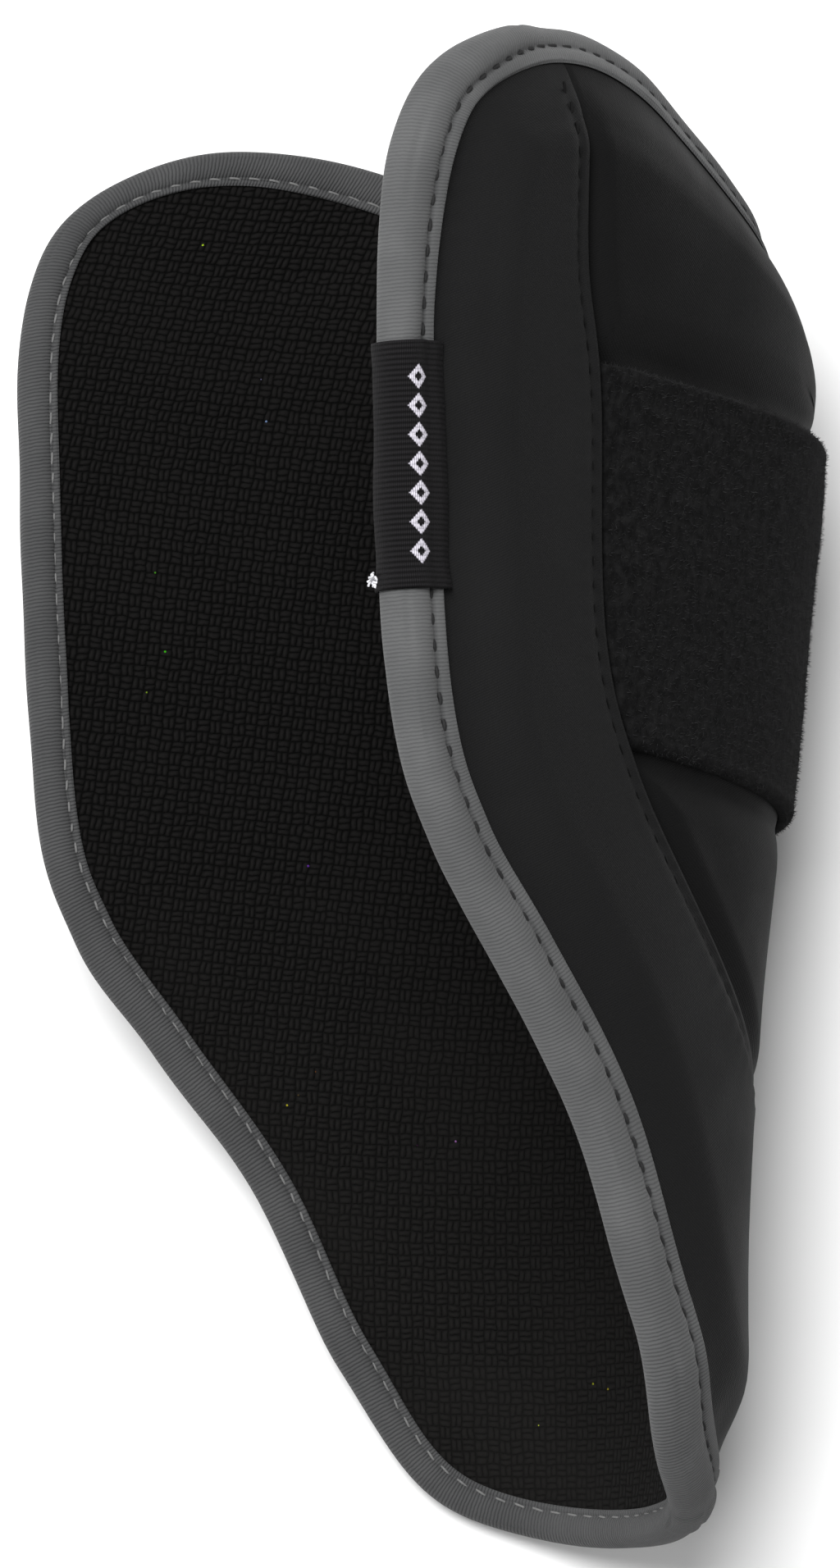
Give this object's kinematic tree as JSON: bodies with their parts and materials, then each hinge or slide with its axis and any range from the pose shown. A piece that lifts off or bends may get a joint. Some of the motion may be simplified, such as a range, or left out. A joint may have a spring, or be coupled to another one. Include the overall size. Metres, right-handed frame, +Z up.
{
  "type": "baseball elbow guard",
  "caption": "Padded elbow guard folded round the arm, with a bound edge, knit lining and a wide elastic strap across the front.",
  "frame": {"origin": "on the surface that the guard lies on, under the middle of the guard", "axes": "+Z up, +Y along the arm from the tip to the rim, the open side towards -X and up, the crown of the fold towards +X"},
  "size_m": [0.1226, 0.2106, 0.1199],
  "materials": {
    "knit_lining": "coarse black knit",
    "smooth_cover": "smooth matte charcoal",
    "brushed_elastic": "brushed nap",
    "ribbed_tape": "gray ribbed tape",
    "woven_label": "fine woven ribs"
  },
  "bodies": {
    "root": {"liner": "knit_lining", "side_cover": "smooth_cover", "front_panel": "smooth_cover", "elastic_strap": "brushed_elastic", "edge_binding": "ribbed_tape", "woven_label": "woven_label"}
  },
  "joints": []
}
